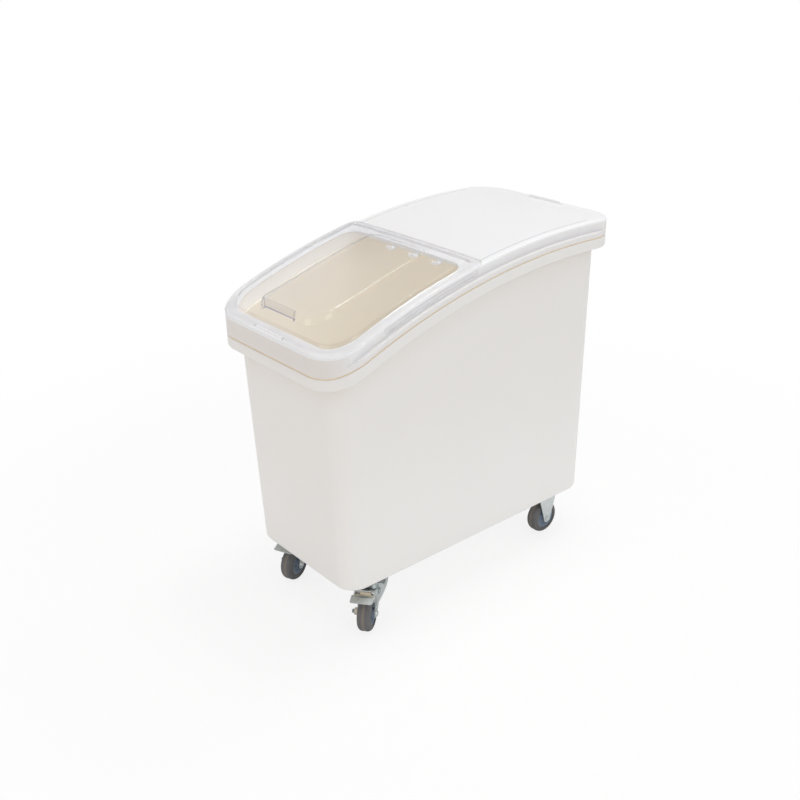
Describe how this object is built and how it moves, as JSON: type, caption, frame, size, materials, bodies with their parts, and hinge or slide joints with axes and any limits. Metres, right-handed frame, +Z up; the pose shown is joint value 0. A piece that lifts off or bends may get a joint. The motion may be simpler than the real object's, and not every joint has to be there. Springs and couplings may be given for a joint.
{
  "type": "rolling flour bin",
  "caption": "Slant-topped storage bin on casters with a lift-off cover and a clear domed lid that slides back along curved rails to open the mouth.",
  "frame": {"origin": "on the floor, under the middle of the rim", "axes": "+Z up, the low front end with the clear lid faces -Y, +X to the right seen from the front"},
  "size_m": [0.4, 0.75, 0.7513],
  "materials": {
    "tub_plastic": "satin",
    "cover_plastic": "satin",
    "lid_plastic": "clear and glossy",
    "zinc_steel": "bright zinc plate",
    "tyre_rubber": "matte",
    "core_plastic": "satin"
  },
  "bodies": {
    "tub_body": {"tub": "tub_plastic", "plate_bolts": "zinc_steel", "plate_washers": "zinc_steel", "plate_nuts": "zinc_steel", "swivel_plate_left": "zinc_steel", "kingpin_left": "zinc_steel", "swivel_plate_right": "zinc_steel", "kingpin_right": "zinc_steel", "rear_fork_left": "zinc_steel", "rear_axle_left": "zinc_steel", "rear_nut_left": "zinc_steel", "rear_bush_left": "zinc_steel", "rear_fork_right": "zinc_steel", "rear_axle_right": "zinc_steel", "rear_nut_right": "zinc_steel", "rear_bush_right": "zinc_steel"},
    "cover_body": {"cover": "cover_plastic"},
    "lid_body": {"clear_lid": "lid_plastic"},
    "swivel_left": {"fork_left": "zinc_steel", "swivel_balls_left": "zinc_steel", "axle_left": "zinc_steel", "axle_nut_left": "zinc_steel", "axle_bush_left": "zinc_steel", "brake_pin_left": "zinc_steel"},
    "wheel_left": {"wheel_core_left": "core_plastic", "tyre_left": "tyre_rubber"},
    "pedal_left": {"brake_pedal_left": "zinc_steel", "brake_bar_left": "zinc_steel"},
    "swivel_right": {"fork_right": "zinc_steel", "swivel_balls_right": "zinc_steel", "axle_right": "zinc_steel", "axle_nut_right": "zinc_steel", "axle_bush_right": "zinc_steel", "brake_pin_right": "zinc_steel"},
    "wheel_right": {"wheel_core_right": "core_plastic", "tyre_right": "tyre_rubber"},
    "pedal_right": {"brake_pedal_right": "zinc_steel", "brake_bar_right": "zinc_steel"},
    "rear_wheel_left": {"rear_core_left": "core_plastic", "rear_tyre_left": "tyre_rubber"},
    "rear_wheel_right": {"rear_core_right": "core_plastic", "rear_tyre_right": "tyre_rubber"}
  },
  "joints": [
    {"name": "cover_lift", "type": "slide", "parent": "tub_body", "child": "cover_body", "axis": [0, 0, 1], "range_m": [0, 0.3]},
    {"name": "lid_slide", "type": "hinge", "parent": "cover_body", "child": "lid_body", "pos_m": [0, 0.249, -0.715], "axis": [-1, 0, 0], "range_deg": [0, 14.3]},
    {"name": "swivel_left_turn", "type": "hinge", "parent": "tub_body", "child": "swivel_left", "pos_m": [-0.121, -0.249, 0.09], "axis": [0, 0, 1], "continuous": true},
    {"name": "wheel_left_roll", "type": "hinge", "parent": "swivel_left", "child": "wheel_left", "pos_m": [-0.10716, -0.28224, 0.0375], "axis": [0.9232, 0.3843, 0], "continuous": true},
    {"name": "pedal_left_press", "type": "hinge", "parent": "swivel_left", "child": "pedal_left", "pos_m": [-0.11331, -0.26746, 0.082], "axis": [0.9232, 0.3843, 0], "range_deg": [0, 10]},
    {"name": "swivel_right_turn", "type": "hinge", "parent": "tub_body", "child": "swivel_right", "pos_m": [0.121, -0.249, 0.09], "axis": [0, 0, 1], "continuous": true},
    {"name": "wheel_right_roll", "type": "hinge", "parent": "swivel_right", "child": "wheel_right", "pos_m": [0.14277, -0.27768, 0.0375], "axis": [0.7965, 0.6046, 0], "continuous": true},
    {"name": "pedal_right_press", "type": "hinge", "parent": "swivel_right", "child": "pedal_right", "pos_m": [0.13309, -0.26493, 0.082], "axis": [0.7965, 0.6046, 0], "range_deg": [0, 10]},
    {"name": "rear_wheel_left_roll", "type": "hinge", "parent": "tub_body", "child": "rear_wheel_left", "pos_m": [-0.115, 0.26, 0.0375], "axis": [1, 0, 0], "continuous": true},
    {"name": "rear_wheel_right_roll", "type": "hinge", "parent": "tub_body", "child": "rear_wheel_right", "pos_m": [0.115, 0.26, 0.0375], "axis": [1, 0, 0], "continuous": true}
  ]
}
